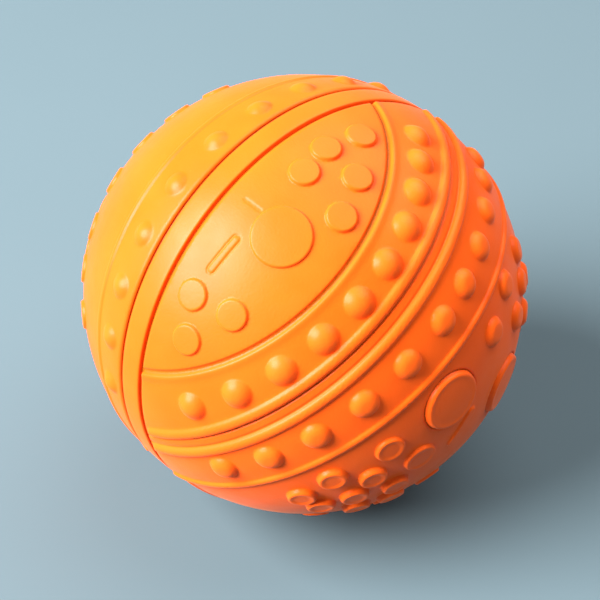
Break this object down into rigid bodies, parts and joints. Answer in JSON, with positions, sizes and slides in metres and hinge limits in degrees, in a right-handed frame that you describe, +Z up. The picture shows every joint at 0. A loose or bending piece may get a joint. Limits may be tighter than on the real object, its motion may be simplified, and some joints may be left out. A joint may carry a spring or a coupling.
{
  "type": "textured massage ball",
  "caption": "Hollow air-filled massage ball with nubs, raised discs and cord ridges, two moulded halves joined under a flat seam strip, with a pull-out valve plug.",
  "frame": {"origin": "centre of the ball", "axes": "+X square to the seam plane, towards the front half; +Z up as the ball rests on the floor, in the seam plane; the pattern axis, which the belt ridges circle away from, lies in the seam plane and rises 29.7 degrees from +Y"},
  "size_m": [0.0936, 0.0911, 0.0909],
  "materials": {
    "shell_rubber": "satin",
    "strip_rubber": "satin",
    "bladder_latex": "satin",
    "valve_rubber": "satin",
    "core_rubber": "matte",
    "plug_plastic": "satin"
  },
  "bodies": {
    "ball": {"front_half_shell": "shell_rubber", "rear_half_shell": "shell_rubber", "seam_strip": "strip_rubber", "air_bladder": "bladder_latex", "valve_housing": "valve_rubber", "valve_core": "core_rubber"},
    "plug": {"valve_plug": "plug_plastic"}
  },
  "joints": [
    {"name": "plug_pull", "type": "slide", "parent": "ball", "child": "plug", "axis": [-0.3746, 0.4594, -0.8054], "range_m": [0, 0.009]}
  ]
}
